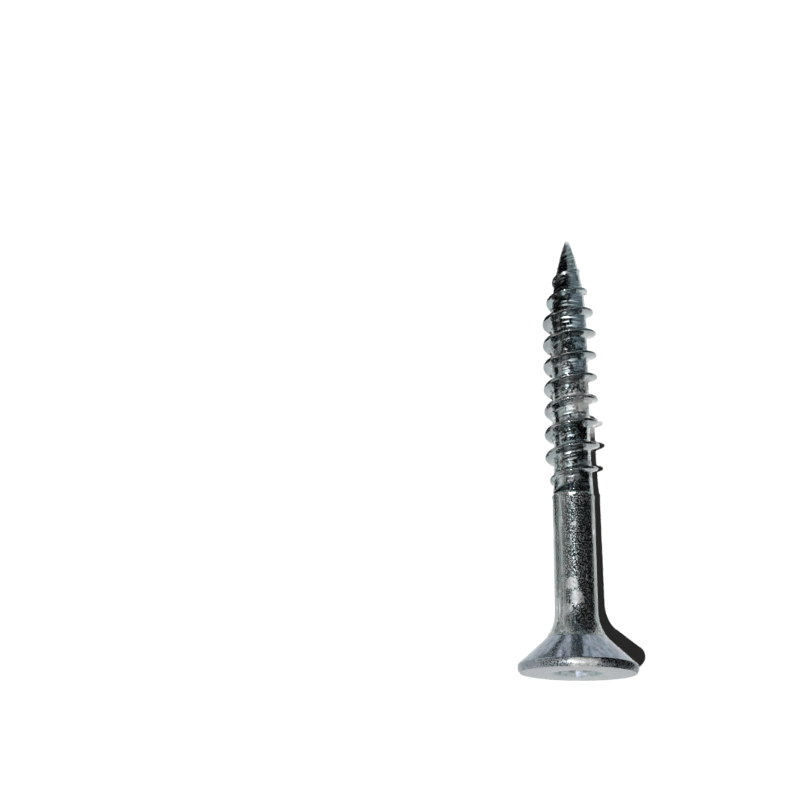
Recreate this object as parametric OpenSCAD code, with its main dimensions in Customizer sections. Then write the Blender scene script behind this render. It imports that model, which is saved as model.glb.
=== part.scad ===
// Countersunk chipboard screw with a six-lobe drive and a part thread.
// It is one headed and rolled piece of wire, and lies on its head's rim and its first full crest.
// Distances along the axis run from the head's face, or from the point where the name says so.

/* [Length] */
// Length from the head's face to the point
screw_len = 40; // [36:1:60]
// Length of the thread, from the point to where its ridge dies out
thread_len = 24.5; // [20:0.1:27]
// Plain neck between the end of the thread and the shoulder
neck_len = 0.25; // [0.1:0.05:1]

/* [Head] */
// Largest diameter of the head, at the bulge of its rim
head_d = 10; // [8.6:0.1:12]
// Height of the rim between the face and the cone
rim_h = 0.72; // [0.6:0.02:0.9]
// Distance from the face to the rim's largest diameter
rim_mid = 0.45; // [0.35:0.01:0.5]
// Radius of the rim's bulge
rim_r = 0.6; // [0.55:0.01:0.9]
// Angle across the cone under the head
cone_angle = 95; // [84:1:100]
// Radius of the fillet that leads the cone into the shank
fillet_r = 3.6; // [2:0.1:4.5]
// Angle that the fillet turns through before it meets the cone at a faint edge
fillet_turn = 40; // [30:1:41]

/* [Shank] */
// Diameter of the plain shank
shank_d = 3.6; // [3.5:0.05:4]
// Diameter of the wire below the shoulder, where no thread is rolled
blank_d = 3.46; // [3.3:0.01:3.55]

/* [Thread] */
// Diameter over the full crests
thread_d = 4.85; // [4.5:0.05:5.6]
// Diameter of the core between the full crests
core_d = 3.2; // [2.9:0.05:3.35]
// Distance between crests, along the axis
pitch = 2.14; // [1.9:0.02:2.8]
// Angle between the two flanks of the ridge
flank_angle = 46; // [36:1:56]
// Width of the crest
crest_w = 0.16; // [0.06:0.01:0.24]
// Reach of the blend where a flank meets the core
root_blend = 0.16; // [0.08:0.01:0.22]
// Length over which the ridge sinks back into the wire
runout_len = 4.2; // [2:0.1:7]

/* [Point] */
// Length over which the core narrows to the point
point_len = 9; // [6:0.5:14]
// Distance from the point where the ridge starts to rise
lead_start = 2; // [1.6:0.1:3.2]
// Distance from the point where the ridge has its full height
lead_len = 8.4; // [5:0.2:11]
// Diameter of the blunt point
tip_d = 0.24; // [0.1:0.02:0.5]
// Fullness of the point, where 1 is a sine curve and less is blunter
point_power = 0.8; // [0.6:0.02:1.1]

/* [Drive recess] */
// Diameter across the lobes
lobe_d = 3.95; // [3.4:0.05:4.5]
// Diameter across the valleys between the lobes
valley_d = 2.85; // [2.4:0.05:3]
// Radius of a lobe's end
lobe_r = 0.33; // [0.26:0.01:0.36]
// Depth of the lobes' walls
recess_depth = 2.2; // [1.6:0.1:2.5]
// Angle across the cone at the bottom of the recess
recess_tip_angle = 124; // [110:1:150]
// Diameter of the flare at the recess's mouth
mouth_d = 4.2; // [4:0.05:4.8]
// Angle across the flare at the mouth
mouth_angle = 130; // [110:1:150]

/* [Rest] */
// Turn of the screw about its own axis as it lies
roll = 350; // [0:5:355]

/* [Hidden] */
$fn = 96;
round_steps = 8;
lobe_count = 6;
turn_steps = 36;
ridge_knots = 6;
cut_margin = 1;

head_r = head_d / 2;
shank_r = shank_d / 2;
blank_r = blank_d / 2;
core_r = core_d / 2;
tip_r = tip_d / 2;
half_flank = flank_angle / 2;
half_cone = cone_angle / 2;

// The rim is an arc about this circle, which the screw lies on.
rim_centre_r = head_r - rim_r;
face_r = rim_centre_r + sqrt(rim_r ^ 2 - rim_mid ^ 2);
cone_start_r = rim_centre_r + sqrt(rim_r ^ 2 - (rim_h - rim_mid) ^ 2);

// The fillet meets the cone where both have the same radius.
fillet_end_r = shank_r + fillet_r * (1 - cos(fillet_turn));
fillet_end_at = rim_h + (cone_start_r - fillet_end_r) / tan(half_cone);
shank_start_at = fillet_end_at + fillet_r * sin(fillet_turn);
shoulder_at = screw_len - thread_len - neck_len;
shoulder_step = shank_r - blank_r;
shoulder_bite = 0.1;

// The ridge is a band of knots that winds back from the point, one turn for each pitch.
full_height = (thread_d - core_d) / 2;
least_spread = full_height / 4;
tip_flat = tip_r;
bury = 0.35;
steps = turn_steps + ceil(turn_steps * (screw_len - shoulder_at + bury - tip_flat) / pitch);
first_centre = tip_flat + knot_reach(0, 0);

function rising(x, low, high) = max(0, min(1, (x - low) / (high - low)));

// Share of the full ridge at a distance from the point: it grows in a line and sinks in a curve.
function runout(from_tip) = sin(90 * rising(thread_len - from_tip, 0, runout_len));
function growth(from_tip) = min(rising(from_tip, lead_start, lead_len), runout(from_tip));
function ridge_height(from_tip) = full_height * growth(from_tip);

// What the ridge takes from the wire leaves the core thinner than the blank.
function root_r(from_tip) = blank_r - (blank_r - core_r) * runout(from_tip);
function taper(from_tip) = pow(sin(90 * rising(from_tip, 0, point_len)), point_power);
function core_at(from_tip) = tip_r + (root_r(from_tip) - tip_r) * taper(from_tip);

// A knot's distance from the middle of the ridge, and its height above the core.
// Knots 0 and 5 are where the blends meet the core, 1 and 4 lie low on the flanks, and 2 and 3 edge the crest.
function spread(height) = max(height, least_spread) * tan(half_flank);
function low_share(height) = min(0.5, root_blend / 2 / max(height, least_spread));
function knot_reach(knot, height) =
    knot == 0 ? crest_w / 2 + spread(height) + root_blend
    : knot == 1 ? crest_w / 2 + spread(height) * (1 - low_share(height))
    : crest_w / 2;
function knot_height(knot, height) =
    knot == 0 ? 0
    : knot == 1 ? height * low_share(height)
    : height;
function ring_knot(knot) = min(knot, ridge_knots - 1 - knot);
function knot_side(knot) = knot < ridge_knots / 2 ? -1 : 1;

// Distances from the point. The first turn opens out from a flat ring at the tip.
function centre(i) = first_centre + pitch * (i - turn_steps) / turn_steps;
function wound(i, knot) =
    centre(i) + knot_side(knot) * knot_reach(ring_knot(knot), ridge_height(centre(i)));
function from_tip(i, knot) =
    i < turn_steps
    ? tip_flat + (wound(turn_steps, knot) - tip_flat) * i / turn_steps
    : wound(i, knot);
function knot_r(i, knot) =
    core_at(from_tip(i, knot)) + knot_height(ring_knot(knot), ridge_height(centre(i)));
function knot_point(i, knot) =
    let (turn = -360 * i / turn_steps, r = knot_r(i, knot))
    [r * cos(turn), r * sin(turn), screw_len - from_tip(i, knot)];

// The band's upper edge at one step is its lower edge one turn later.
function index(i, knot) =
    i == 0 ? index(turn_steps, 0)
    : knot == ridge_knots ? index(i + turn_steps, 0)
    : i <= steps ? (i - 1) * ridge_knots + knot
    : steps * ridge_knots + i - steps - 1;

band_points = [
    for (i = [1 : steps])
        for (knot = [0 : ridge_knots - 1])
            knot_point(i, knot)
];
edge_points = [for (i = [steps + 1 : steps + turn_steps]) knot_point(i, 0)];
tip_point = [0, 0, screw_len];
buried_point = [0, 0, screw_len - centre(steps) - pitch / 2];
tip_index = len(band_points) + len(edge_points);
buried_index = tip_index + 1;

band_faces = [
    for (i = [0 : steps - 1])
        for (knot = [0 : ridge_knots - 1])
            each concat(
                i == 0 ? [] : [[index(i, knot), index(i, knot + 1), index(i + 1, knot + 1)]],
                [[index(i, knot), index(i + 1, knot + 1), index(i + 1, knot)]]
            )
];
tip_faces = [
    for (i = [0 : turn_steps - 1])
        [tip_index, index(i, 0), index(i + 1, 0)]
];
buried_edge_faces = [
    for (i = [steps : steps + turn_steps - 1])
        [buried_index, index(i + 1, 0), index(i, 0)]
];
buried_step_faces = [
    for (knot = [0 : ridge_knots - 1])
        [buried_index, index(steps, knot), index(steps, knot + 1)]
];

// The screw tips forward until a crest meets the plane that its rim lies on.
function turned(p) = p[0] * cos(roll) - p[1] * sin(roll);
function tilt_to(p) =
    let (over = rim_centre_r - turned(p), along = p[2] - rim_mid)
    acos(-rim_r / norm([over, along])) - atan2(along, over);
rest_tilt = min([for (p = band_points) if (p[2] > shoulder_at) tilt_to(p)]);
rest_height = rim_centre_r * cos(rest_tilt) + rim_mid * sin(rest_tilt) + rim_r;
rest_low_x = -face_r * sin(rest_tilt);
rest_high_x = screw_len * cos(rest_tilt);

function rim_point(side_angle) =
    [rim_centre_r + rim_r * cos(side_angle), rim_mid + rim_r * sin(side_angle)];
function fillet_point(angle) =
    [shank_r + fillet_r * (1 - cos(angle)), shank_start_at - fillet_r * sin(angle)];

rim_low_angle = -asin(rim_mid / rim_r);
rim_high_angle = asin((rim_h - rim_mid) / rim_r);
rim_outline = [
    for (step = [0 : round_steps])
        rim_point(rim_low_angle + (rim_high_angle - rim_low_angle) * step / round_steps)
];
fillet_outline = [
    for (step = [0 : round_steps])
        fillet_point(fillet_turn * (1 - step / round_steps))
];

module head_and_shank() {
    rotate_extrude()
        polygon(concat(
            [[0, 0]],
            rim_outline,
            fillet_outline,
            [
                [shank_r, shoulder_at - shoulder_step],
                [blank_r - shoulder_bite, shoulder_at + shoulder_bite],
                [0, shoulder_at + shoulder_bite]
            ]
        ));
}

module threaded_end() {
    polyhedron(
        points = concat(band_points, edge_points, [tip_point, buried_point]),
        faces = concat(band_faces, tip_faces, buried_edge_faces, buried_step_faces)
    );
}

// The lobes are hollow arcs and the valleys between them are full arcs, and each pair meets in line.
lobe_centre = lobe_d / 2 - lobe_r;
half_step = 180 / lobe_count;
valley_r =
    (lobe_centre ^ 2 + (valley_d / 2) ^ 2 - lobe_centre * valley_d * cos(half_step) - lobe_r ^ 2)
    / 2 / (lobe_r - valley_d / 2 + lobe_centre * cos(half_step));
valley_centre = valley_d / 2 + valley_r;
lobe_sweep = atan2(valley_centre * sin(half_step), valley_centre * cos(half_step) - lobe_centre);
valley_sweep = lobe_sweep - half_step;

function polar(r, angle) = [r * cos(angle), r * sin(angle)];
function lobe_point(lobe, share) =
    polar(lobe_centre, lobe * 2 * half_step)
    + polar(lobe_r, lobe * 2 * half_step + lobe_sweep * share);
function valley_point(lobe, share) =
    polar(valley_centre, (lobe * 2 + 1) * half_step)
    - polar(valley_r, (lobe * 2 + 1) * half_step - valley_sweep * share);

lobe_outline = [
    for (lobe = [0 : lobe_count - 1])
        each concat(
            [for (step = [0 : round_steps]) lobe_point(lobe, 2 * step / round_steps - 1)],
            [for (step = [1 : round_steps - 1]) valley_point(lobe, 2 * step / round_steps - 1)]
        )
];

recess_tip_h = lobe_d / 2 / tan(recess_tip_angle / 2);
mouth_depth = (mouth_d / 2) / tan(mouth_angle / 2);
mouth_top_r = (mouth_depth + cut_margin) * tan(mouth_angle / 2);

module recess_walls() {
    intersection() {
        translate([0, 0, -cut_margin])
            linear_extrude(recess_depth + recess_tip_h + 2 * cut_margin)
                polygon(lobe_outline);
        rotate_extrude()
            polygon([
                [0, -cut_margin / 2],
                [lobe_d, -cut_margin / 2],
                [lobe_d, recess_depth - recess_tip_h],
                [0, recess_depth + recess_tip_h]
            ]);
    }
}

module recess_mouth() {
    translate([0, 0, -cut_margin])
        cylinder(r1 = mouth_top_r, r2 = 0, h = mouth_depth + cut_margin);
}

module screw() {
    color([0.78, 0.81, 0.84])
        translate([-(rest_low_x + rest_high_x) / 2, 0, rest_height])
            rotate([0, 90 + rest_tilt, 0])
                rotate([0, 0, roll])
                    difference() {
                        union() {
                            head_and_shank();
                            threaded_end();
                        }
                        recess_walls();
                        recess_mouth();
                    }
}

screw();
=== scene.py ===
# %% [markdown]
# # A chipboard screw in bright zinc
# A chipboard screw is one piece of steel wire. Its head is struck cold with the recess in it, its
# thread is rolled, and a thin coat of bright zinc goes over everything. The solid from the CAD has
# the right sizes, but near-mirror metal shows every facet, so this lesson winds a finer skin on the
# same rules, gives it five finishes of zinc and lights it on a white table.

# %% Load the CAD part
import math

import bmesh
import bpy
import numpy as np
from mathutils import Matrix, Vector


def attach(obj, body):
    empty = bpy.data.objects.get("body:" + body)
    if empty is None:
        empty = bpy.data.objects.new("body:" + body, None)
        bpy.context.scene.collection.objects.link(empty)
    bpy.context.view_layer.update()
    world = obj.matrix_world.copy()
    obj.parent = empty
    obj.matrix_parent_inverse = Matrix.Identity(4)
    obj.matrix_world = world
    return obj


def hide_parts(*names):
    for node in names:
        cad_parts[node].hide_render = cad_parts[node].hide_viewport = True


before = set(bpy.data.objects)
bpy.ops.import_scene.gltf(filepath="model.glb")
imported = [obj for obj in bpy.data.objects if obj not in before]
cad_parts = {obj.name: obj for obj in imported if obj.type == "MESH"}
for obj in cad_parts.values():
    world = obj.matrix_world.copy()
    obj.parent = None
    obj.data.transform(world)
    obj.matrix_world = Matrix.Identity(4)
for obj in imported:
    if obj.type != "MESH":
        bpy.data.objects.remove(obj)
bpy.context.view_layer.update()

MM = 0.001

# %% [markdown]
# ## Sizes
# The sizes repeat those of the CAD, in millimetres along and across the screw. Distances along the
# axis run from the face of the head, or from the point where a name says so. Working in the screw's
# own axes keeps the rules short, and the place where it lies is worked out afterwards.

# %% Sizes of the screw
screw_len = 40.0
# the thread, and the plain neck between it and the shank
thread_len, neck_len = 24.5, 0.25
thread_r, core_r, pitch = 4.85 / 2, 3.2 / 2, 2.14
half_flank, crest_w, root_blend, runout_len = math.radians(23), 0.16, 0.16, 4.2
# the point: its taper, where the ridge starts and where it is full, the tip, and how full the taper is
point_len, lead_start, lead_len, tip_r, point_power = 9.0, 2.0, 8.4, 0.12, 0.8
# the head: its rim is a bulge of radius rim_r, widest at rim_mid below the face
head_r, rim_h, rim_mid, rim_r = 5.0, 0.72, 0.45, 0.6
half_cone, fillet_r, fillet_turn = math.radians(47.5), 3.6, math.radians(40)
# the plain shank, and the thinner wire that the thread is rolled from
shank_r, blank_r = 3.6 / 2, 3.46 / 2
# the six-lobe recess: out to its lobes, in to its valleys, and the cones of its bottom and its mouth
lobe_out, valley_in, lobe_r = 3.95 / 2, 2.85 / 2, 0.33
recess_depth, mouth_r = 2.2, 2.1
half_recess_tip, half_mouth = math.radians(62), math.radians(65)
# how far the screw is rolled about its axis
roll = math.radians(350)

ridge_full = thread_r - core_r
shoulder_at = screw_len - thread_len - neck_len
rim_centre_r = head_r - rim_r
face_r = rim_centre_r + math.sqrt(rim_r ** 2 - rim_mid ** 2)
print(f"ridge {ridge_full:.3f} mm high, shoulder {shoulder_at:.2f} mm from the face")

# %% [markdown]
# ## Sums on sockets
# Node trees get long when every sum is a node made by hand. A small class that holds a socket, and
# turns Python's operators into Math nodes, lets a rule be written as it would be on paper. It
# serves the geometry tree of the thread and the trees of the finishes alike.

# %% A socket that does sums
def add_node(tree, kind, settings=None, **sockets):
    """Makes one node: its settings first, then what goes on its sockets, by name or by place."""
    node = tree.nodes.new(kind)
    for name, value in (settings or {}).items():
        if name == "stops":
            set_stops(node.color_ramp.elements, value)
        else:
            setattr(node, name, value)
    for name, value in sockets.items():
        place = int(name[1:]) if name[0] == "s" and name[1:].isdigit() else name.replace("_", " ")
        connect(tree, value, node.inputs[place])
    return node


def set_stops(elements, stops):
    """Gives a colour ramp, which starts with two elements, its stops: rising places with colours."""
    elements[0].position, elements[1].position = stops[0][0], stops[-1][0]
    for place, _ in stops[1:-1]:
        elements.new(place)
    for element, (_, colour) in zip(elements, stops):
        element.color = (*colour, 1)


def connect(tree, value, socket):
    """Puts a number, a colour or a name on a socket, or links another socket to it."""
    if isinstance(value, Value):
        tree.links.new(value.socket, socket)
    elif isinstance(value, bpy.types.NodeSocket):
        tree.links.new(value, socket)
    else:
        socket.default_value = value


class Value:
    """A socket of a node tree on which Python's operators add Math nodes."""

    def __init__(self, tree, socket):
        self.tree, self.socket = tree, socket

    def sum(self, operation, *values, clamp=False):
        settings = {"operation": operation, "use_clamp": clamp}
        places = {f"s{place}": value for place, value in enumerate(values)}
        return Value(self.tree, add_node(self.tree, "ShaderNodeMath", settings, **places).outputs[0])

    def __add__(self, other): return self.sum("ADD", self, other)
    def __radd__(self, other): return self.sum("ADD", other, self)
    def __sub__(self, other): return self.sum("SUBTRACT", self, other)
    def __rsub__(self, other): return self.sum("SUBTRACT", other, self)
    def __mul__(self, other): return self.sum("MULTIPLY", self, other)
    def __rmul__(self, other): return self.sum("MULTIPLY", other, self)
    def __truediv__(self, other): return self.sum("DIVIDE", self, other)
    def __rtruediv__(self, other): return self.sum("DIVIDE", other, self)
    def __pow__(self, other): return self.sum("POWER", self, other)
    def __rpow__(self, other): return self.sum("POWER", other, self)
    def __neg__(self): return self.sum("MULTIPLY", self, -1.0)
    def __abs__(self): return self.sum("ABSOLUTE", self)
    def sin(self): return self.sum("SINE", self)
    def cos(self): return self.sum("COSINE", self)
    def tan(self): return self.sum("TANGENT", self)
    def sign(self): return self.sum("SIGN", self)
    def least(self, other): return self.sum("MINIMUM", self, other)
    def most(self, other): return self.sum("MAXIMUM", self, other)
    def smooth_least(self, other, blend): return self.sum("SMOOTH_MIN", self, other, blend)
    def smooth_most(self, other, blend): return self.sum("SMOOTH_MAX", self, other, blend)

    def rising(self, low, high):
        """0 up to low, 1 from high, and a straight line between."""
        return self.sum("ADD", (self - low) / (high - low), 0.0, clamp=True)

    def between(self, low, high, soft):
        """1 from low to high and 0 elsewhere, with soft edges inside that range."""
        return self.rising(low, low + soft) * (1.0 - self.rising(high - soft, high))


def split(tree, vector):
    """The three parts of a vector, each as a Value."""
    parts = add_node(tree, "ShaderNodeSeparateXYZ", None, s0=vector).outputs
    return [Value(tree, part) for part in parts]


def length(x, y):
    """How far a place lies from the axis."""
    return (x * x + y * y) ** 0.5


def angle_of(y, x):
    """How far a place is turned about the axis, from -pi to pi."""
    return y.sum("ARCTAN2", y, x)


print("sums on sockets:", [name for name in vars(Value) if not name.startswith("_")])

# %% [markdown]
# ## The threaded end
# The thread of the real screw is rolled between dies, which press a ridge out of the wire and leave
# a rounded crest and a blend at its foot. It could be cut from a cylinder with booleans, but those
# leave slivers in a mirror finish. Here a grid is wound into a band one pitch wide, whose upper
# edge meets its own lower edge one turn later. All of it follows one rule, so Geometry Nodes fit.
# The sizes are named inputs of the tree, and nothing in it is random.

# %% Named inputs of the tree that winds the thread
thread_inputs = {
    "Pitch": pitch, "Core Radius": core_r, "Wire Radius": blank_r, "Ridge Height": ridge_full,
    "Thread Length": thread_len, "Run-out Length": runout_len,
    "Lead Start": lead_start, "Lead Length": lead_len,
    "Point Length": point_len, "Point Radius": tip_r, "Point Fullness": point_power,
    "Half Flank": half_flank, "Crest Width": crest_w, "Root Blend": root_blend,
    "Screw Length": screw_len,
}
steps_a_turn, knots_across = 144, 26
bury = 0.35    # how far the band goes on inside the shank
weld_gap = 0.0005
turns = 1 + (screw_len - shoulder_at + bury - tip_r - pitch / 2) / pitch
rows = math.ceil(turns * steps_a_turn)
first_centre = tip_r + crest_w / 2 + ridge_full / 4 * math.tan(half_flank) + root_blend
phase = (tip_r + pitch / 2 - first_centre) / pitch
print(f"{rows} rows of {knots_across} knots, {rows / steps_a_turn:.2f} turns")

# %% The tree that winds the thread
thread_tree = bpy.data.node_groups.new("Wind the thread", "GeometryNodeTree")
thread_tree.interface.new_socket("Geometry", in_out="OUTPUT", socket_type="NodeSocketGeometry")
for name in thread_inputs:
    thread_tree.interface.new_socket(name, in_out="INPUT", socket_type="NodeSocketFloat")
thread_tree.interface.new_socket("Finish", in_out="INPUT", socket_type="NodeSocketMaterial")
group_in = add_node(thread_tree, "NodeGroupInput")
size = {name: Value(thread_tree, group_in.outputs[name]) for name in thread_inputs}

band = add_node(thread_tree, "GeometryNodeMeshGrid", None, Size_X=1.0, Size_Y=1.0,
                Vertices_X=rows + 1, Vertices_Y=knots_across + 1)
along, over, _ = split(thread_tree, add_node(thread_tree, "GeometryNodeInputPosition").outputs[0])
turn = (along + 0.5) * (rows / steps_a_turn)
across = over * 2.0
print("the tree takes", len(size), "sizes and one finish")

# %% [markdown]
# ## The rule of the ridge
# Each point of the band knows its turn and how far across the ridge it is. From these follow its
# distance from the tip and its distance from the axis. The ridge rises evenly near the point,
# where the dies press least, and sinks back into the wire at the run-out, over a wire that tapers
# to the tip as a sine does. A profile could be swept along a helix, but it would stay the same all
# the way, and this rule changes with the place. Soft least and soft most values round the crest
# and the foot.

# %% Distances from the point: knots crowd at the crest, and the first turn opens from a ring
crowding = 1.6
crowded = across.sign() * (abs(across) ** crowding)
centre = size["Point Radius"] + size["Pitch"] * (turn - 0.5)
first_turn_end = size["Point Radius"] + size["Pitch"] * 0.5
opening = turn.least(1.0)
wound = centre.most(first_turn_end) + crowded * size["Pitch"] * 0.5
from_tip = size["Point Radius"] + (wound - size["Point Radius"]) * opening
print(f"at the crest the knots stand {(2 / knots_across) ** crowding * pitch / 2:.4f} mm apart")

# %% Height of the ridge, and the wire under it
def sine_rise(share):
    """0 to 1 as a quarter of a sine wave rises."""
    return (share * (math.pi / 2)).sin()


def runout(distance):
    """1 along the thread and 0 from its end, where the ridge sinks into the wire."""
    return sine_rise((size["Thread Length"] - distance).rising(0.0, size["Run-out Length"]))


lead = centre.rising(size["Lead Start"], size["Lead Length"])
top = size["Ridge Height"] * lead.least(runout(centre))
slope = size["Half Flank"].tan()
beside = (abs(crowded) * size["Pitch"] * 0.5 - size["Crest Width"] * 0.5).most(0.0)
flank = top - beside / slope
crest = flank.smooth_least(top, (size["Root Blend"] * 0.8).least(top))
ridge = crest.smooth_most(0.0, size["Root Blend"].least(top))
root = size["Wire Radius"] - (size["Wire Radius"] - size["Core Radius"]) * runout(from_tip)
taper = sine_rise(from_tip.rising(0.0, size["Point Length"])) ** size["Point Fullness"]
radius = size["Point Radius"] + (root - size["Point Radius"]) * taper + ridge
print(len(thread_tree.nodes), "nodes hold the rule")

# %% Wind the band round the axis and weld its edges
angle = (turn + phase) * (-2 * math.pi)
wound_place = add_node(thread_tree, "ShaderNodeCombineXYZ", None, X=radius * angle.cos(),
                       Y=radius * angle.sin(), Z=size["Screw Length"] - from_tip)
moved = add_node(thread_tree, "GeometryNodeSetPosition", None, Geometry=band.outputs["Mesh"],
                 Position=wound_place.outputs[0])
crest_highlight_width = 0.22    # how far down from the crest the painted highlight reaches, in mm
on_crest = (1.25 - beside / crest_highlight_width).most(0.0).least(1.0)
on_crest = on_crest * (top / size["Ridge Height"] * 3.0).least(1.0)
# the crest attribute carries a painted highlight, which the rolled finish paints onto the crests
marked = add_node(thread_tree, "GeometryNodeStoreNamedAttribute",
                  {"data_type": "FLOAT", "domain": "POINT"},
                  Geometry=moved.outputs[0], Name="crest", Value=on_crest)
welded = add_node(thread_tree, "GeometryNodeMergeByDistance", None, Geometry=marked.outputs[0],
                  Distance=weld_gap)
smooth = add_node(thread_tree, "GeometryNodeSetShadeSmooth", None, Geometry=welded.outputs[0])
real = add_node(thread_tree, "GeometryNodeRealizeInstances", None, Geometry=smooth.outputs[0])
finished = add_node(thread_tree, "GeometryNodeSetMaterial", None, Geometry=real.outputs[0],
                    Material=group_in.outputs["Finish"])
add_node(thread_tree, "NodeGroupOutput", None, Geometry=finished.outputs[0])
print(len(thread_tree.nodes), "nodes wind the thread")

# %% [markdown]
# ## Where the screw lies
# A countersunk screw can't stand on its point, so it lies on the rim of its head and tips until
# the first crest of the thread touches the table. The tilt could be found by trial, but the rim is
# an arc and the crest is a known curve, so one formula gives the tilt for each point of the crest,
# and the least of them is the one that holds.

# %% It tips until a crest meets the plane that its rim lies on
def rim_and_crest_tilt():
    """Tilt that brings both the rim's arc and the thread down to the same plane."""
    wound_turns = np.arange(0, turns, 1 / 360)
    at = tip_r + pitch * (wound_turns - 0.5)
    fade = np.sin(np.pi / 2 * np.clip((thread_len - at) / runout_len, 0, 1))
    share = np.minimum(np.clip((at - lead_start) / (lead_len - lead_start), 0, 1), fade)
    wire = blank_r - (blank_r - core_r) * fade
    taper = np.sin(np.pi / 2 * np.clip(at / point_len, 0, 1)) ** point_power
    crest_r = tip_r + (wire - tip_r) * taper + ridge_full * share
    low = crest_r * np.cos(-2 * np.pi * (wound_turns + phase) + roll)
    over, along = rim_centre_r - low, screw_len - at - rim_mid
    tilt = np.arccos(-rim_r / np.hypot(over, along)) - np.arctan2(along, over)
    return float(tilt[at > tip_r].min())


rest_tilt = rim_and_crest_tilt()
rest_turn = math.pi / 2 + rest_tilt
rest_height = rim_centre_r * math.cos(rest_tilt) + rim_mid * math.sin(rest_tilt) + rim_r
rest_middle = (screw_len * math.cos(rest_tilt) - face_r * math.sin(rest_tilt)) / 2
rest_move = Vector((-rest_middle, 0, rest_height)) * MM
lie = Matrix.Translation(rest_move) @ Matrix.Rotation(rest_turn, 4, "Y") @ Matrix.Scale(MM, 4)
print(f"it lies tipped by {math.degrees(rest_tilt):.3f} degrees, its axis {rest_height:.3f} mm up at the face")

# %% [markdown]
# ## Five finishes of zinc
# Zinc plating is bright but never a perfect mirror. The drawn shank keeps fine lines along it, the
# dies leave lines round the thread, the pressed cone has cloudy streaks, the struck face has faint
# rings, and the recess stays matt. Tiny bumps in the plating break every reflection into sparks. A
# picture of such metal could be wrapped round the screw, but it would carry one light in it. So
# each finish is one metal with bumps at these scales, a little haze where it is worn, and the
# faint tint of the thin film that passivates the zinc.

# %% The screw's own axes in a material
def screw_axes(tree):
    """Object coordinates in mm, turned and moved so that Z runs from the face to the point."""
    place = add_node(tree, "ShaderNodeTexCoord").outputs["Object"]
    turned = add_node(tree, "ShaderNodeMapping", {"vector_type": "TEXTURE"}, Vector=place,
                      Location=tuple(rest_move), Rotation=(0.0, rest_turn, 0.0), Scale=(MM, MM, MM))
    return turned.outputs[0]


def noise(tree, vector, scale, detail=2.0, roughness=0.5, spread=(1, 1, 1)):
    """Noise with cells of about 1 / scale mm, stretched by spread."""
    stretched = add_node(tree, "ShaderNodeVectorMath", {"operation": "MULTIPLY"}, s0=vector, s1=spread)
    made = add_node(tree, "ShaderNodeTexNoise", None, Vector=stretched.outputs[0], Scale=scale,
                    Detail=detail, Roughness=roughness)
    return Value(tree, made.outputs[0])


print(f"the finishes follow the screw's axis, {math.degrees(rest_turn):.2f} degrees from upright")

# %% Spots where the plating came out frosted, each a place on the screw in mm and a radius
shank_spots = [
    ((-1.65, 0.62, 7.2), 0.6),
    ((-1.75, 0.2, 6.05), 0.65),
    ((-1.45, 1.0, 5.1), 0.55),
    ((-1.75, 0.25, 12.3), 0.24),
    ((-2.25, 0.65, 2.5), 0.4),
]
groove_spots = [((-1.0, -0.35, 23.45), 1.4), ((-0.65, -0.75, 25.4), 1.05)]
# the rim's spot is partly a real frosted patch and partly a painted highlight: its near-white frost colour
# paints the bright middle of the rim band
rim_highlight_spots = [((-4.95, 0.15, 0.5), 1.3)]


def frosted(tree, axes, spots):
    """1 inside the spots, whose edges are uneven, and 0 outside them."""
    ragged = noise(tree, axes, 4.5, 4.0, 0.75) * 2.2 - 0.6
    mask = 0.0
    for place, radius in spots:
        away = add_node(tree, "ShaderNodeVectorMath", {"operation": "DISTANCE"}, s0=axes, s1=place)
        near = 1.0 - (Value(tree, away.outputs["Value"]) / radius + ragged - 0.5).rising(0.8, 1.0)
        mask = near.most(mask)
    return mask * (0.45 + 0.55 * noise(tree, axes, 5.0, 2.0, 0.6).rising(0.42, 0.58))


print("frosted spots:", len(shank_spots), "on the shank,", len(groove_spots), "in the thread and",
      len(rim_highlight_spots), "on the rim")

# %% A finish of zinc, from its film, its grain and its lines
film_scale, grain_scale = 0.8, 9.5    # patches of film and grains of plating, a mm
grain_edge = 0.06                     # how soft the grains end, in steps of the noise
noise_reach = 0.32                    # how far most of the noise strays from a half
film_stops = (
    (0.34, (0.34, 0.43, 0.42)), (0.66, (0.43, 0.45, 0.45)),    # the film, from blue-green to grey
    (0.661, (0.522, 0.569, 0.607)), (1.0, (1.0, 1.0, 1.0)),    # and small patches that it misses
)


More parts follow.
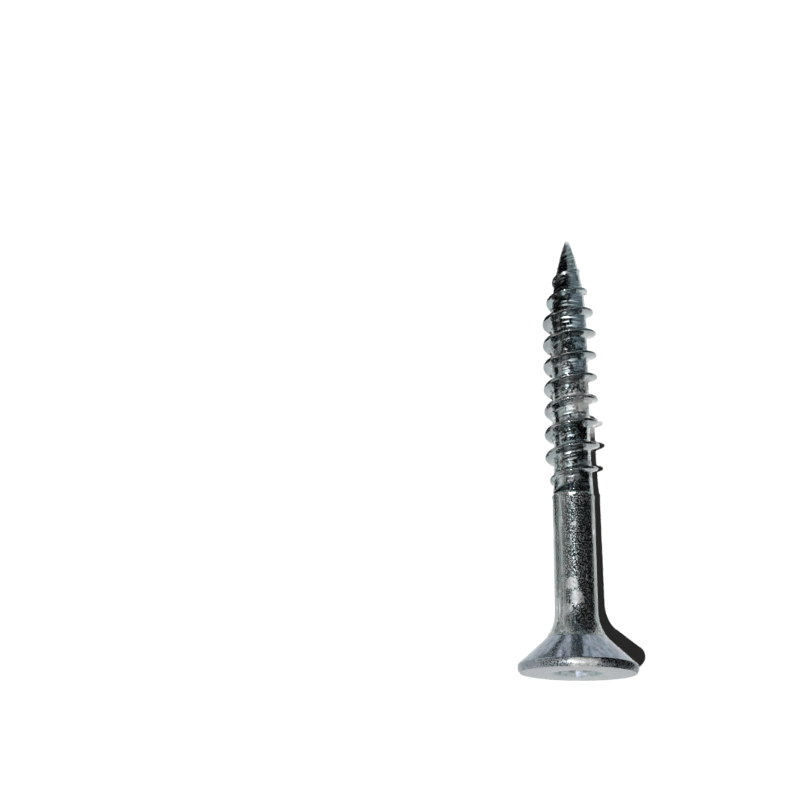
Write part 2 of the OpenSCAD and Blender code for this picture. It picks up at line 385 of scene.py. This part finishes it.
def zinc(name, lines, tone, haze, grain_share, grain_haze, sparkle, spots=(), frost=(0.52, 0.485, 0.495)):
    """One metal. Its lines give a height in mm, a haze and a shade of their own. Its tone multiplies
    the film's colour, haze is the roughness between the grains and grain_haze what the grains add,
    sparkle is their height in mm, and frost is the colour of its spots and grains."""
    material = bpy.data.materials.new(name)
    material.use_nodes = True
    tree = material.node_tree
    tree.nodes.clear()
    axes = screw_axes(tree)
    film = noise(tree, axes, film_scale, 2.0, 0.6)
    cells = noise(tree, axes, grain_scale, 1.5, 0.5)
    edge = 0.5 + (0.5 - grain_share) * noise_reach
    grain = cells.rising(edge, edge + grain_edge)
    dull = frosted(tree, axes, spots) if spots else 0.0
    line_height, line_haze, line_shade = lines(tree, axes)
    tint = add_node(tree, "ShaderNodeValToRGB", {"stops": film_stops}, Fac=film)
    toned = add_node(tree, "ShaderNodeVectorMath", {"operation": "MULTIPLY"}, s0=tint.outputs[0], s1=tone)
    shaded = add_node(tree, "ShaderNodeVectorMath", {"operation": "SCALE"}, s0=toned.outputs[0],
                      Scale=1.0 - line_shade * (1.0 - dull * 0.7))
    # the spots mix in the frost colour: a frosted patch, and on the rim a painted highlight as well
    bright = add_node(tree, "ShaderNodeMix", {"data_type": "RGBA"}, A=shaded.outputs[0], B=(*frost, 1),
                      Factor=(grain * 0.2).most(dull * 0.6))
    bump = add_node(tree, "ShaderNodeBump", None, Strength=1.0, Distance=MM,
                    Height=cells.most(edge) * sparkle + line_height)
    shine = add_node(tree, "ShaderNodeBsdfPrincipled", None, Base_Color=bright.outputs["Result"],
                     Metallic=1.0, Normal=bump.outputs[0],
                     Roughness=haze + (grain * grain_haze).most(line_haze) + dull * 0.55)
    add_node(tree, "ShaderNodeOutputMaterial", None, Surface=shine.outputs[0])
    return material


print("grains are about", round(1 / grain_scale, 2), "mm wide, patches of film", round(1 / film_scale, 2), "mm")

# %% [markdown]
# ## What each tool left on the metal
# The lines of a finish belong to the tool that made it, so each has a function of its own that
# gives their height, haze and shade. The drawing die leaves lines along the wire and the rolling
# dies leave steps round it. The wire flows down the cone as it is pressed, and the punch leaves
# rings. Real scratches could be modelled one by one, but noise that is stretched in the right
# direction gives thousands of them for one node.

# %% Lines along the drawn shank
def drawn_lines(tree, axes):
    """Fine lines along the wire: some hold a darker film, and a few are scuffed bright."""
    mark = noise(tree, axes, 5.5, 2.0, 0.6, (1, 1, 0.012))
    scuff = noise(tree, axes, 6.5, 1.0, 0.5, (1, 1, 0.04)).rising(0.62, 0.66)
    return (mark - 0.5) * 0.035, 0.0, mark.rising(0.45, 0.55) * 0.5 - scuff * 0.7


print("lines on the shank are up to", round(1 / 0.012), "times as long as they are wide")

# %% Steps round the rolled thread
ring_highlight_from, ring_highlight_to = 29.9, 33.6    # here the grooves get painted highlight rings, in mm from the face
ring_step = 0.42


def rolled_lines(tree, axes):
    """Steps round the grooves, every other one duller, with pits, and with painted highlights: bright rings and
    bright crests.
    """
    x, y, z = split(tree, axes)
    around = angle_of(y, x) / (2 * math.pi)
    share = (z / pitch - around) * (2 * math.pi)
    out = length(x, y)
    groove = 1.0 - out.rising(core_r + 0.05, core_r + 0.2)
    ring = add_node(tree, "ShaderNodeCombineXYZ", None, X=share.cos(), Y=share.sin(), Z=z * 0.15)
    mark = noise(tree, ring.outputs[0], 1.3, 2.0, 0.6)
    dulled = mark.rising(0.48, 0.52) * groove * noise(tree, axes, 1.1, 3.0, 0.6).rising(0.43, 0.55)

    patch = noise(tree, axes, 0.6, 1.0, 0.5) + ((z - 21.0) * (2 * math.pi / 3.7)).cos() * 0.14
    pitted = noise(tree, axes, 4.8, 2.0, 0.6).rising(0.46, 0.51) * patch.rising(0.5, 0.56)
    pitted = pitted * (1.0 - out.rising(core_r + 0.15, core_r + 0.35)) * (1.0 - z.rising(29.5, 31.5))

    # painted highlight: bright rings in the grooves, kept to a narrow band along the top and the underside of
    # the thread
    rings = (z * (2 * math.pi / ring_step)).cos().rising(0.2, 0.8) * groove
    rings = rings * z.between(ring_highlight_from, ring_highlight_to, 0.4) * (1.0 - abs(y - 0.1).rising(0.5, 0.95))
    rings = rings * noise(tree, axes, 2.2, 1.0, 0.5).rising(0.2, 0.45)

    # painted highlight on the crests: the crest mask brightens the colour and adds haze
    crest_mark = add_node(tree, "ShaderNodeAttribute", {"attribute_name": "crest"})
    crest_highlight = Value(tree, crest_mark.outputs["Fac"])
    flank = out.rising(core_r + 0.2, core_r + 0.5) * (1.0 - crest_highlight)

    haze = (dulled * 0.4).most(crest_highlight * 0.6).most(rings * 0.5)
    shade = pitted * 0.95 + flank * 0.2 - crest_highlight * 1.4 - dulled * 0.6 - rings * 1.1
    return (mark - 0.5) * groove * 0.07, haze, shade


print(f"{(ring_highlight_to - ring_highlight_from) / ring_step:.0f} bright rings from {ring_highlight_from} to {ring_highlight_to} mm")

# %% Rings on the struck face and streaks down the pressed cone
def struck_lines(tree, axes):
    """Faint rings from the punch, under clouds of a darker film."""
    x, y, _ = split(tree, axes)
    ring = add_node(tree, "ShaderNodeCombineXYZ", None, X=length(x, y))
    mark = noise(tree, ring.outputs[0], 6.0, 2.0)
    cloud = noise(tree, axes, 2.4, 3.0, 0.65)
    return (mark - 0.5) * 0.006, 0.0, mark.rising(0.5, 0.6) * 0.12 + cloud.rising(0.47, 0.56) * 0.2


def pressed_lines(tree, axes):
    """Cloudy streaks down the cone, where the wire flowed into the die."""
    x, y, z = split(tree, axes)
    out = length(x, y)
    around = add_node(tree, "ShaderNodeCombineXYZ", None, X=x / out * 4.0, Y=y / out * 4.0, Z=z * 0.8)
    mark = noise(tree, around.outputs[0], 2.4, 3.0, 0.65)
    return (mark - 0.5) * 0.01, 0.0, mark.rising(0.42, 0.6) * 0.42


print("four sets of lines serve five finishes, because the recess was struck like the face")

# %% The five finishes
drawn_zinc = zinc("drawn zinc", drawn_lines, tone=(1.0, 1.0, 1.0), haze=0.05, grain_share=0.45,
                  grain_haze=0.42, sparkle=0.03, spots=shank_spots)
rolled_zinc = zinc("rolled zinc", rolled_lines, tone=(0.92, 0.9, 0.93), haze=0.05, grain_share=0.22,
                   grain_haze=0.3, sparkle=0.04, spots=groove_spots, frost=(0.78, 0.73, 0.71))
# the darker tones of the struck and pressed finishes are partly the finishes' own and partly painted shade,
# which stands in for the darker surroundings that the face, rim and cone reflect
struck_zinc = zinc("struck zinc", struck_lines, tone=(0.42, 0.45, 0.53), haze=0.16, grain_share=0.6,
                   # struck zinc's near-white frost colour paints a highlight into its rim spot
                   grain_haze=0.34, sparkle=0.03, spots=rim_highlight_spots, frost=(0.95, 0.94, 0.9))
pressed_zinc = zinc("pressed zinc", pressed_lines, tone=(0.70, 0.74, 0.9), haze=0.12, grain_share=0.3,
                    grain_haze=0.2, sparkle=0.018)
# painted light: the recess is toned above white, which lifts the shade that falls in the hollow
frosted_zinc = zinc("frosted zinc", struck_lines, tone=(1.22, 1.22, 1.27), haze=0.9, grain_share=0.3,
                    grain_haze=0.1, sparkle=0.01)
finishes = (struck_zinc, drawn_zinc, rolled_zinc, pressed_zinc, frosted_zinc)
STRUCK, DRAWN, ROLLED, PRESSED, FROSTED = range(len(finishes))
print("finishes:", [finish.name for finish in finishes])

# %% [markdown]
# ## From the tree to a closed mesh
# The rolling dies turn wire into thread in one pass, and here the modifier does it. It could stay
# on the piece, but the export keeps plain meshes only, so its inputs are set by their identifiers,
# it winds the band on an empty object, and the result is kept. The band is open at the point and
# inside the shank. A fan of triangles about one point closes each of these edges, so that the
# shell holds a volume.

# %% Wind the thread and keep it as a plain mesh
carrier = bpy.data.objects.new("threaded_end", bpy.data.meshes.new("threaded_end"))
bpy.context.scene.collection.objects.link(carrier)
winder = carrier.modifiers.new("Wind the thread", "NODES")
winder.node_group = thread_tree
for item in thread_tree.interface.items_tree:
    if item.in_out == "INPUT":
        winder[item.identifier] = rolled_zinc if item.name == "Finish" else thread_inputs[item.name]
bpy.context.view_layer.update()
wound_mesh = bpy.data.meshes.new_from_object(carrier.evaluated_get(bpy.context.evaluated_depsgraph_get()))
carrier.modifiers.remove(winder)
print("the wound band has", len(wound_mesh.vertices), "points and", len(wound_mesh.polygons), "faces")


# %% Close the band with a fan at the point and one inside the shank
def close_with_fans(shell):
    """Closes each open edge with a fan about a point on the axis: at the very tip, and level inside."""
    open_edges = [e for e in shell.edges if e.is_boundary]
    tip_edges = [e for e in open_edges if max(v.co.z for v in e.verts) > screw_len - 2 * tip_r]
    inner_edges = [e for e in open_edges if e not in tip_edges]
    for edges, depth in ((tip_edges, screw_len), (inner_edges, None)):
        points = {v for e in edges for v in e.verts}
        level = depth if depth is not None else sum(v.co.z for v in points) / len(points)
        middle = shell.verts.new((0, 0, level))
        for e in edges:
            shell.faces.new((e.verts[0], e.verts[1], middle)).smooth = True
        print("a fan of", len(edges), "faces closes the band at", round(level, 2), "mm")


shell = bmesh.new()
shell.from_mesh(wound_mesh)
close_with_fans(shell)
bmesh.ops.recalc_face_normals(shell, faces=shell.faces)
open_left = sum(e.is_boundary for e in shell.edges)
print("open edges left:", open_left, "volume", round(shell.calc_volume(), 2), "mm3")
threaded_mesh = bpy.data.meshes.new("threaded_end")
shell.to_mesh(threaded_mesh)
shell.free()

# %% [markdown]
# ## The head and the shank
# The head is struck in one blow, so its edges are soft: the rim bulges, the face rolls over into
# it, and the mouth of the recess is a little flared. A lathe gives all of that if each corner of
# the outline is first rounded with a small arc. Only the recess isn't round. It could be cut out
# with a boolean, but here the outline may differ from column to column, and so the same lathe
# makes the six lobes as well.

# %% The six-lobe outline of the recess: arcs of two radii that meet in line
lobe_centre = lobe_out - lobe_r
half_step = math.pi / 6
lobe_reach = lobe_centre * math.cos(half_step)
valley_r = ((lobe_centre ** 2 + valley_in ** 2 - 2 * lobe_reach * valley_in - lobe_r ** 2)
            / 2 / (lobe_r - valley_in + lobe_reach))
valley_centre = valley_in + valley_r
lobe_sweep = math.atan2(valley_centre * math.sin(half_step),
                        valley_centre * math.cos(half_step) - lobe_centre)
valley_sweep = lobe_sweep - half_step
columns_a_lobe = 36


def recess_outline():
    """Points round the recess, as x and y, each lobe's arc first and then the valley after it."""
    points = []
    half = columns_a_lobe // 2
    for lobe in range(6):
        middle = 2 * lobe * half_step
        for share in np.linspace(-1, 1, half, endpoint=False):
            turn = middle + lobe_sweep * share
            points.append((lobe_centre * math.cos(middle) + lobe_r * math.cos(turn),
                           lobe_centre * math.sin(middle) + lobe_r * math.sin(turn)))
        middle += half_step
        for share in np.linspace(-1, 1, half, endpoint=False):
            turn = middle - valley_sweep * share
            points.append((valley_centre * math.cos(middle) - valley_r * math.cos(turn),
                           valley_centre * math.sin(middle) - valley_r * math.sin(turn)))
    return np.array(points)


recess = recess_outline()
columns = len(recess)
recess_r = np.hypot(recess[:, 0], recess[:, 1])
recess_turn = np.unwrap(np.arctan2(recess[:, 1], recess[:, 0]))
even_turn = recess_turn[0] + np.arange(columns) * 2 * math.pi / columns
print(columns, "columns, valley radius", round(valley_r, 3), "mm")

# %% Where the cone and the fillet meet the rim and the shank
cone_start_r = rim_centre_r + math.sqrt(rim_r ** 2 - (rim_h - rim_mid) ** 2)
fillet_end_r = shank_r + fillet_r * (1 - math.cos(fillet_turn))
fillet_end_at = rim_h + (cone_start_r - fillet_end_r) / math.tan(half_cone)
shank_start_at = fillet_end_at + fillet_r * math.sin(fillet_turn)
print(f"cone from {rim_h} to {fillet_end_at:.2f} mm, plain shank from {shank_start_at:.2f} mm")


# %% Corners of the recess and the face, in every column
def corner(r, z, blend, turn, finish):
    """One corner of the outline: its radius and depth, its blend, its turn and the finish after it."""
    same = np.ones(columns)
    return {"r": r * same, "z": z * same, "blend": blend, "turn": turn, "finish": finish}


pin_r = 0.02    # the lathe starts and ends this close to the axis, and a fan fills the rest
bottom_rise = 1 / math.tan(half_recess_tip)
recess_bottom = recess_depth + lobe_out * bottom_rise
outline = [
    corner(pin_r, recess_bottom - pin_r * bottom_rise, 0, recess_turn, FROSTED),
    corner(recess_r, recess_bottom - recess_r * bottom_rise, 0.12, recess_turn, FROSTED),
    corner(recess_r, (mouth_r - recess_r) / math.tan(half_mouth), 0.05, recess_turn, FROSTED),
    corner(mouth_r, 0, 0.05, even_turn, FROSTED),
    corner(face_r, 0, 0.06, even_turn, STRUCK),
]
print(f"the recess is {recess_bottom:.2f} mm deep at its middle")

# %% Corners of the rim, the cone, the fillet and the shoulder
rim_steps, fillet_steps = 11, 14
rim_from, rim_to = -math.asin(rim_mid / rim_r), math.asin((rim_h - rim_mid) / rim_r)
for share in np.linspace(0, 1, rim_steps + 1)[1:]:
    swing, last = rim_from + (rim_to - rim_from) * share, share == 1
    outline.append(corner(rim_centre_r + rim_r * math.cos(swing), rim_mid + rim_r * math.sin(swing),
                          0.12 if last else 0, even_turn, PRESSED if last else STRUCK))
for share in np.linspace(1, 0, fillet_steps + 1):
    swing, first = fillet_turn * share, share == 1
    outline.append(corner(shank_r + fillet_r * (1 - math.cos(swing)),
                          shank_start_at - fillet_r * math.sin(swing),
                          0.1 if first else 0, even_turn, PRESSED if first else DRAWN))
step = shank_r - blank_r
bulge, bulge_from, bulge_to = 0.06, 0.36, 0.16    # rolling pushes up a low bulge before the shoulder
inside = 0.1    # how far the shank goes on inside the threaded end
outline += [
    corner(shank_r, shoulder_at - bulge_from, 0.1, even_turn, DRAWN),
    corner(shank_r + bulge, shoulder_at - bulge_to, 0.1, even_turn, DRAWN),
    corner(shank_r, shoulder_at - step, 0.06, even_turn, DRAWN),
    corner(blank_r - inside, shoulder_at + inside, 0, even_turn, DRAWN),
    corner(pin_r, shoulder_at + inside, 0, even_turn, DRAWN),
]
print(len(outline), "corners in the outline")


# %% Round the corners and turn the outline into rings
def rounded(outline, arc_steps=5):
    """Rings of points: each corner with a blend gives an arc that leaves both its sides in line."""
    rings = []
    for k, here in enumerate(outline):
        point = np.stack([here["r"], here["z"]], 1)
        if here["blend"] == 0:
            rings.append((point, here["turn"], here["finish"]))
            continue
        before, after = outline[k - 1], outline[k + 1]
        to_before = np.stack([before["r"], before["z"]], 1) - point
        to_after = np.stack([after["r"], after["z"]], 1) - point
        length_before = np.linalg.norm(to_before, axis=1, keepdims=True)
        length_after = np.linalg.norm(to_after, axis=1, keepdims=True)
        reach = np.minimum(here["blend"], 0.45 * np.minimum(length_before, length_after))
        start = point + to_before / length_before * reach
        end = point + to_after / length_after * reach
        for share in np.linspace(0, 1, arc_steps):
            bent = (1 - share) ** 2 * start + 2 * share * (1 - share) * point + share ** 2 * end
            rings.append((bent, here["turn"], here["finish"]))
    return rings


rings = rounded(outline)
ring_points = [np.stack([flat[:, 0] * np.cos(turn), flat[:, 0] * np.sin(turn), flat[:, 1]], 1)
               for flat, turn, _ in rings]
print(len(rings), "rings after rounding")

# %% Build the head and shank as one closed shell
shell = bmesh.new()
verts = [[shell.verts.new(p) for p in ring] for ring in ring_points]
for k in range(len(verts) - 1):
    for j in range(columns):
        n = (j + 1) % columns
        face = shell.faces.new((verts[k][j], verts[k][n], verts[k + 1][n], verts[k + 1][j]))
        face.material_index, face.smooth = rings[k + 1][2], True
for ring, finish in ((verts[0], STRUCK), (verts[-1], DRAWN)):
    middle = shell.verts.new((0, 0, sum(v.co.z for v in ring) / columns))
    for j in range(columns):
        face = shell.faces.new((ring[j], ring[(j + 1) % columns], middle))
        face.material_index, face.smooth = finish, True
bmesh.ops.recalc_face_normals(shell, faces=shell.faces)
head_mesh = bpy.data.meshes.new("head_and_shank")
shell.to_mesh(head_mesh)
print("head and shank:", len(shell.faces), "faces, volume", round(shell.calc_volume(), 2), "mm3")
shell.free()

# %% [markdown]
# ## One piece, laid down
# Head, shank and thread are one wire on the real screw. A boolean could weld the two shells, but
# it would leave slivers where they meet, so the threaded end just starts a little way inside the
# shank. Both go into one mesh, which is rolled about its axis, tipped and moved to where the screw
# lies. Its object stays at the origin, unturned, as the CAD node's does.

# %% Join both shells and lay them down
sharp_from = math.radians(40)
whole = bmesh.new()
whole.from_mesh(head_mesh)
head_faces = len(whole.faces)
whole.from_mesh(threaded_mesh)
whole.faces.ensure_lookup_table()
for face in whole.faces[head_faces:]:
    face.material_index = ROLLED
bmesh.ops.transform(whole, matrix=lie @ Matrix.Rotation(roll, 4, "Z"), verts=whole.verts)
skin = bpy.data.meshes.new("zinc_screw")
whole.to_mesh(skin)
triangles = sum(len(f.verts) - 2 for f in whole.faces)
whole.free()
skin.set_sharp_from_angle(angle=sharp_from)
print("the skin has", len(skin.vertices), "points and", triangles, "triangles")

# %% The skin takes the place of the CAD node
screw = bpy.data.objects.new("zinc_screw", skin)
bpy.context.scene.collection.objects.link(screw)
for finish in finishes:
    skin.materials.append(finish)
bpy.data.objects.remove(carrier)
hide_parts("screw")
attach(screw, "root")
screw.visible_diffuse = False    # the table isn't darkened or tinted by the metal beside it
print("the piece has", triangles, "triangles and keeps", sorted(skin.attributes.keys()))

# %% [markdown]
# ## The table
# The ground of the photograph is an even white with no edge or seam. It could be a curved
# backdrop, but the camera looks down and would see only the flat of it, so a plain matt table
# does.

# %% A white table
bpy.ops.mesh.primitive_plane_add(size=1.6, location=(0, 0, 0))
table = bpy.context.object
table.name = "table"


def matt(name, colour):
    """A plain matt material of one colour."""
    material = bpy.data.materials.new(name)
    material.use_nodes = True
    tree = material.node_tree
    tree.nodes.clear()
    surface = add_node(tree, "ShaderNodeBsdfDiffuse", None, Color=(*colour, 1))
    add_node(tree, "ShaderNodeOutputMaterial", None, Surface=surface.outputs[0])
    return material


table.data.materials.append(matt("white paper", (0.92, 0.92, 0.92)))
print("the table is", round(table.dimensions.x, 2), "m wide")

# %% [markdown]
# ## The room
# Mirror metal shows what stands round it, so the room matters as much as the finish. It could be a
# ring of real lamps and boards, but the world is simpler and adds no noise. It is white at the
# horizon, as the table goes on to be, and dark overhead but for some bands along the screw, which
# the round wire draws out into long pale stripes. A strip at the head's end gives the head a pale
# sweep. For the light on the table the room is nearly off, so that the lamps alone set its white.

# %% Bands along the screw, a strip beyond the head and a white horizon
# each band: from and to, in quarter turns from overhead towards the left, its soft edge, its strength
bands = ((0.25, 0.46, 0.06, 0.55), (0.68, 0.83, 0.05, 0.7), (0.86, 1.2, 0.03, 0.9))
strip_strength, horizon_strength, dusk_strength, least_strength = 1.2, 0.95, 0.05, 0.012
kept_from_table = 0.94

world = bpy.data.worlds.new("studio")
bpy.context.scene.world = world
world.use_nodes = True
tree = world.node_tree
tree.nodes.clear()
x, y, z = split(tree, add_node(tree, "ShaderNodeTexCoord").outputs["Generated"])
lift = angle_of(y, z) / (math.pi / 2)
wall = lift.rising(0.3, 0.4) * 0.06
for low, high, soft, strength in bands:
    wall = wall.most(lift.between(low, high, soft) * strength)
strip = (-x).between(0.2, 0.85, 0.05) * lift.rising(-0.95, -0.1) * (1.0 - lift.rising(0.32, 0.4))
dusk = lift.between(-0.04, 0.36, 0.1) * (1.0 - (-x).rising(0.2, 0.25))
horizon = z.between(-0.4, 0.13, 0.03)
glow = wall.most(strip * strip_strength).most(horizon * horizon_strength).most(dusk * dusk_strength)
on_table = Value(tree, add_node(tree, "ShaderNodeLightPath").outputs["Is Diffuse Ray"])
hue = add_node(tree, "ShaderNodeMix", {"data_type": "RGBA"}, Factor=dusk,
               A=(1, 0.99, 0.96, 1), B=(0.45, 0.62, 1, 1))
room = add_node(tree, "ShaderNodeBackground", None, Color=hue.outputs["Result"],
                Strength=(glow + least_strength) * (1.0 - on_table * kept_from_table))
add_node(tree, "ShaderNodeOutputWorld", None, Surface=room.outputs[0])
print(len(tree.nodes), "nodes make the room,", len(bands), "bands in it")

# %% [markdown]
# ## The lamps
# The table is an even white on both sides of the screw, and yet the screw throws one crisp dark
# shadow, at the right of its shank and head. One big soft lamp would blur it. So two small lamps
# light the table, each one side of a line across the screw. In a studio a board beside the lamp, a
# flag, would cut off its light at that line, and here the edge of a very wide spot does. The key
# stands at the left and lights the head's side. The fill stands near the camera and lights the
# point's side, so that its shadow hides behind the thread. Reflections meet neither. They meet
# only a small glint lamp, which gives the sparks and doesn't light the table.

# %% The key, the fill and the glint
def lamp(name, kind, place, aim, power, **settings):
    """A lamp of one kind at one place that looks at another, both in m."""
    light = bpy.data.lights.new(name, kind)
    light.energy = power
    for setting, value in settings.items():
        setattr(light, setting, value)
    holder = bpy.data.objects.new(name, light)
    bpy.context.scene.collection.objects.link(holder)
    ahead = (Vector(aim) - Vector(place)).normalized()
    holder.matrix_world = Matrix.Translation(place) @ ahead.to_track_quat("-Z", "Y").to_matrix().to_4x4()
    holder.visible_camera = False
    print(name, "at", place, "m,", power, "W")
    return holder


def flagged_lamp(name, place, side, edge, power):
    """A small crisp lamp for the table. It lights one side, 1 or -1, of a line across the screw
    through the point edge, because the edge of its very wide cone runs along that line."""
    to_edge = (Vector(edge) - Vector(place)).normalized()
    inward = to_edge.cross(Vector((0, 1, 0))).normalized() * side
    half_cone_of_light = math.radians(72)
    ahead = to_edge * math.cos(half_cone_of_light) + inward * math.sin(half_cone_of_light)
    lamp(name, "SPOT", place, Vector(place) + ahead, power, spot_size=2 * half_cone_of_light,
         spot_blend=0.0017, shadow_soft_size=0.0015).visible_glossy = False


flagged_lamp("key", (-0.25, 0.315, 1.13), -1, (0.0042, 0.016, 0), 66.0)
flagged_lamp("fill", (-0.32, 0.15, 1.06), 1, (0.0019, 0.016, 0), 60.0)
lamp("glint", "AREA", (-0.15, 0.31, 1.13), (0, 0, 0), 14.5, shape="RECTANGLE", size=0.07,
     size_y=0.09).visible_diffuse = False

# %% [markdown]
# ## Cards for the reflections
# Metal that has only white round it looks white, and its form is lost. The dark could be painted
# into the finish, but it would stay there under any other light. So dark and grey-green cards stand
# or lie close beside the screw, as they do when metal is photographed, and each puts a stripe with
# a crisp edge on it. The dark ones that lie on the table or stand low at its foot are painted
# shade: they stand in for the darker table round the screw. Only reflections meet them: the
# camera, the table and the shadows don't.

# %% Cards that the metal sees and the camera doesn't
# each card: its name, its colour, and two far corners of it in mm
# the dark cards that lie on the table or stand low at the screw's foot are painted shade, in the reflections
# only
cards = (
    ("card_right", (0.012, 0.012, 0.014), (-40, -15.5, 0), (40, -15.5, 16)),
    ("card_shank", (0.42, 0.5, 0.47), (-12.5, 7.4, 1.0), (1, 7.4, 3.35)),
    ("card_foot", (0.12, 0.15, 0.14), (-12.5, 7.4, 0), (1, 7.4, 1.0)),
    ("card_blue", (0.3, 0.4, 0.46), (9, -7, 0.1), (40, -7, 25)),
    ("card_left", (0.015, 0.035, 0.033), (0.5, 5.5, 0), (14, 5.5, 4.0)),
    ("card_point", (0.01, 0.01, 0.012), (12, 4.4, 0.1), (45, 4.4, 18)),
    ("card_below", (0.01, 0.01, 0.012), (14, 1.5, 0.1), (45, 4.4, 0.1)),
    ("card_cone", (0.01, 0.015, 0.015), (-6, 4.0, 0.1), (-1.5, 7.3, 0.1)),
    ("card_front", (0.36, 0.43, 0.44), (23, -14, 0), (23, 0.8, 9)),
)


def reflection_card(name, colour, low, high):
    """A card between two far corners. It lies flat if they are at one height, and stands if not."""
    (x0, y0, z0), (x1, y1, z1) = low, high
    second, fourth = ((x1, y0, z0), (x0, y1, z0)) if z0 == z1 else ((x1, y1, z0), (x0, y0, z1))
    sheet = bpy.data.meshes.new(name)
    sheet.from_pydata([Vector(c) * MM for c in (low, second, high, fourth)], [], [(0, 1, 2, 3)])
    sheet.materials.append(matt(name, colour))
    card = bpy.data.objects.new(name, sheet)
    bpy.context.scene.collection.objects.link(card)
    card.visible_camera = card.visible_diffuse = card.visible_shadow = False
    return card


for each in cards:
    reflection_card(*each)
print(len(cards), "cards round the screw")

# %% [markdown]
# ## The camera
# The camera stands where the photograph's own stood: above the head's end of the screw, a little
# to the left, looking down and ahead. A view could be guessed by eye, but errors of shape would
# hide in it, so its place, its turn and its lens were worked out from the outline of the screw.

# %% The camera, where the photograph's own stood
camera_place = (-24.017, 14.666, 105.978)    # in mm
focal_pixels, picture_pixels, sensor = 1190.5, 800, 36
lean, swing, twist = math.radians(15.18), math.radians(1.32), math.radians(0.08)
ahead = Vector((math.sin(lean), 0, -math.cos(lean)))
upward = Vector((math.cos(lean), 0, math.sin(lean)))
rightward = Vector((0, -1, 0))
right_edge = rightward * math.cos(twist) + upward * math.sin(twist)
top_edge = upward * math.cos(twist) - rightward * math.sin(twist)
facing = Matrix((right_edge, top_edge, -ahead)).transposed().to_4x4()
lens = bpy.data.cameras.new("camera")
lens.sensor_width, lens.lens = sensor, sensor * focal_pixels / picture_pixels
lens.clip_start, lens.clip_end = 0.005, 10
camera = bpy.data.objects.new("camera", lens)
bpy.context.scene.collection.objects.link(camera)
camera.matrix_world = (Matrix.Translation(Vector(camera_place) * MM)
                       @ Matrix.Rotation(swing, 4, "Z") @ facing)
bpy.context.scene.camera = camera
bpy.context.scene.view_settings.view_transform = "Standard"
print(f"lens of {lens.lens:.1f} mm, {camera_place[2]:.0f} mm above the table")

# %% [markdown]
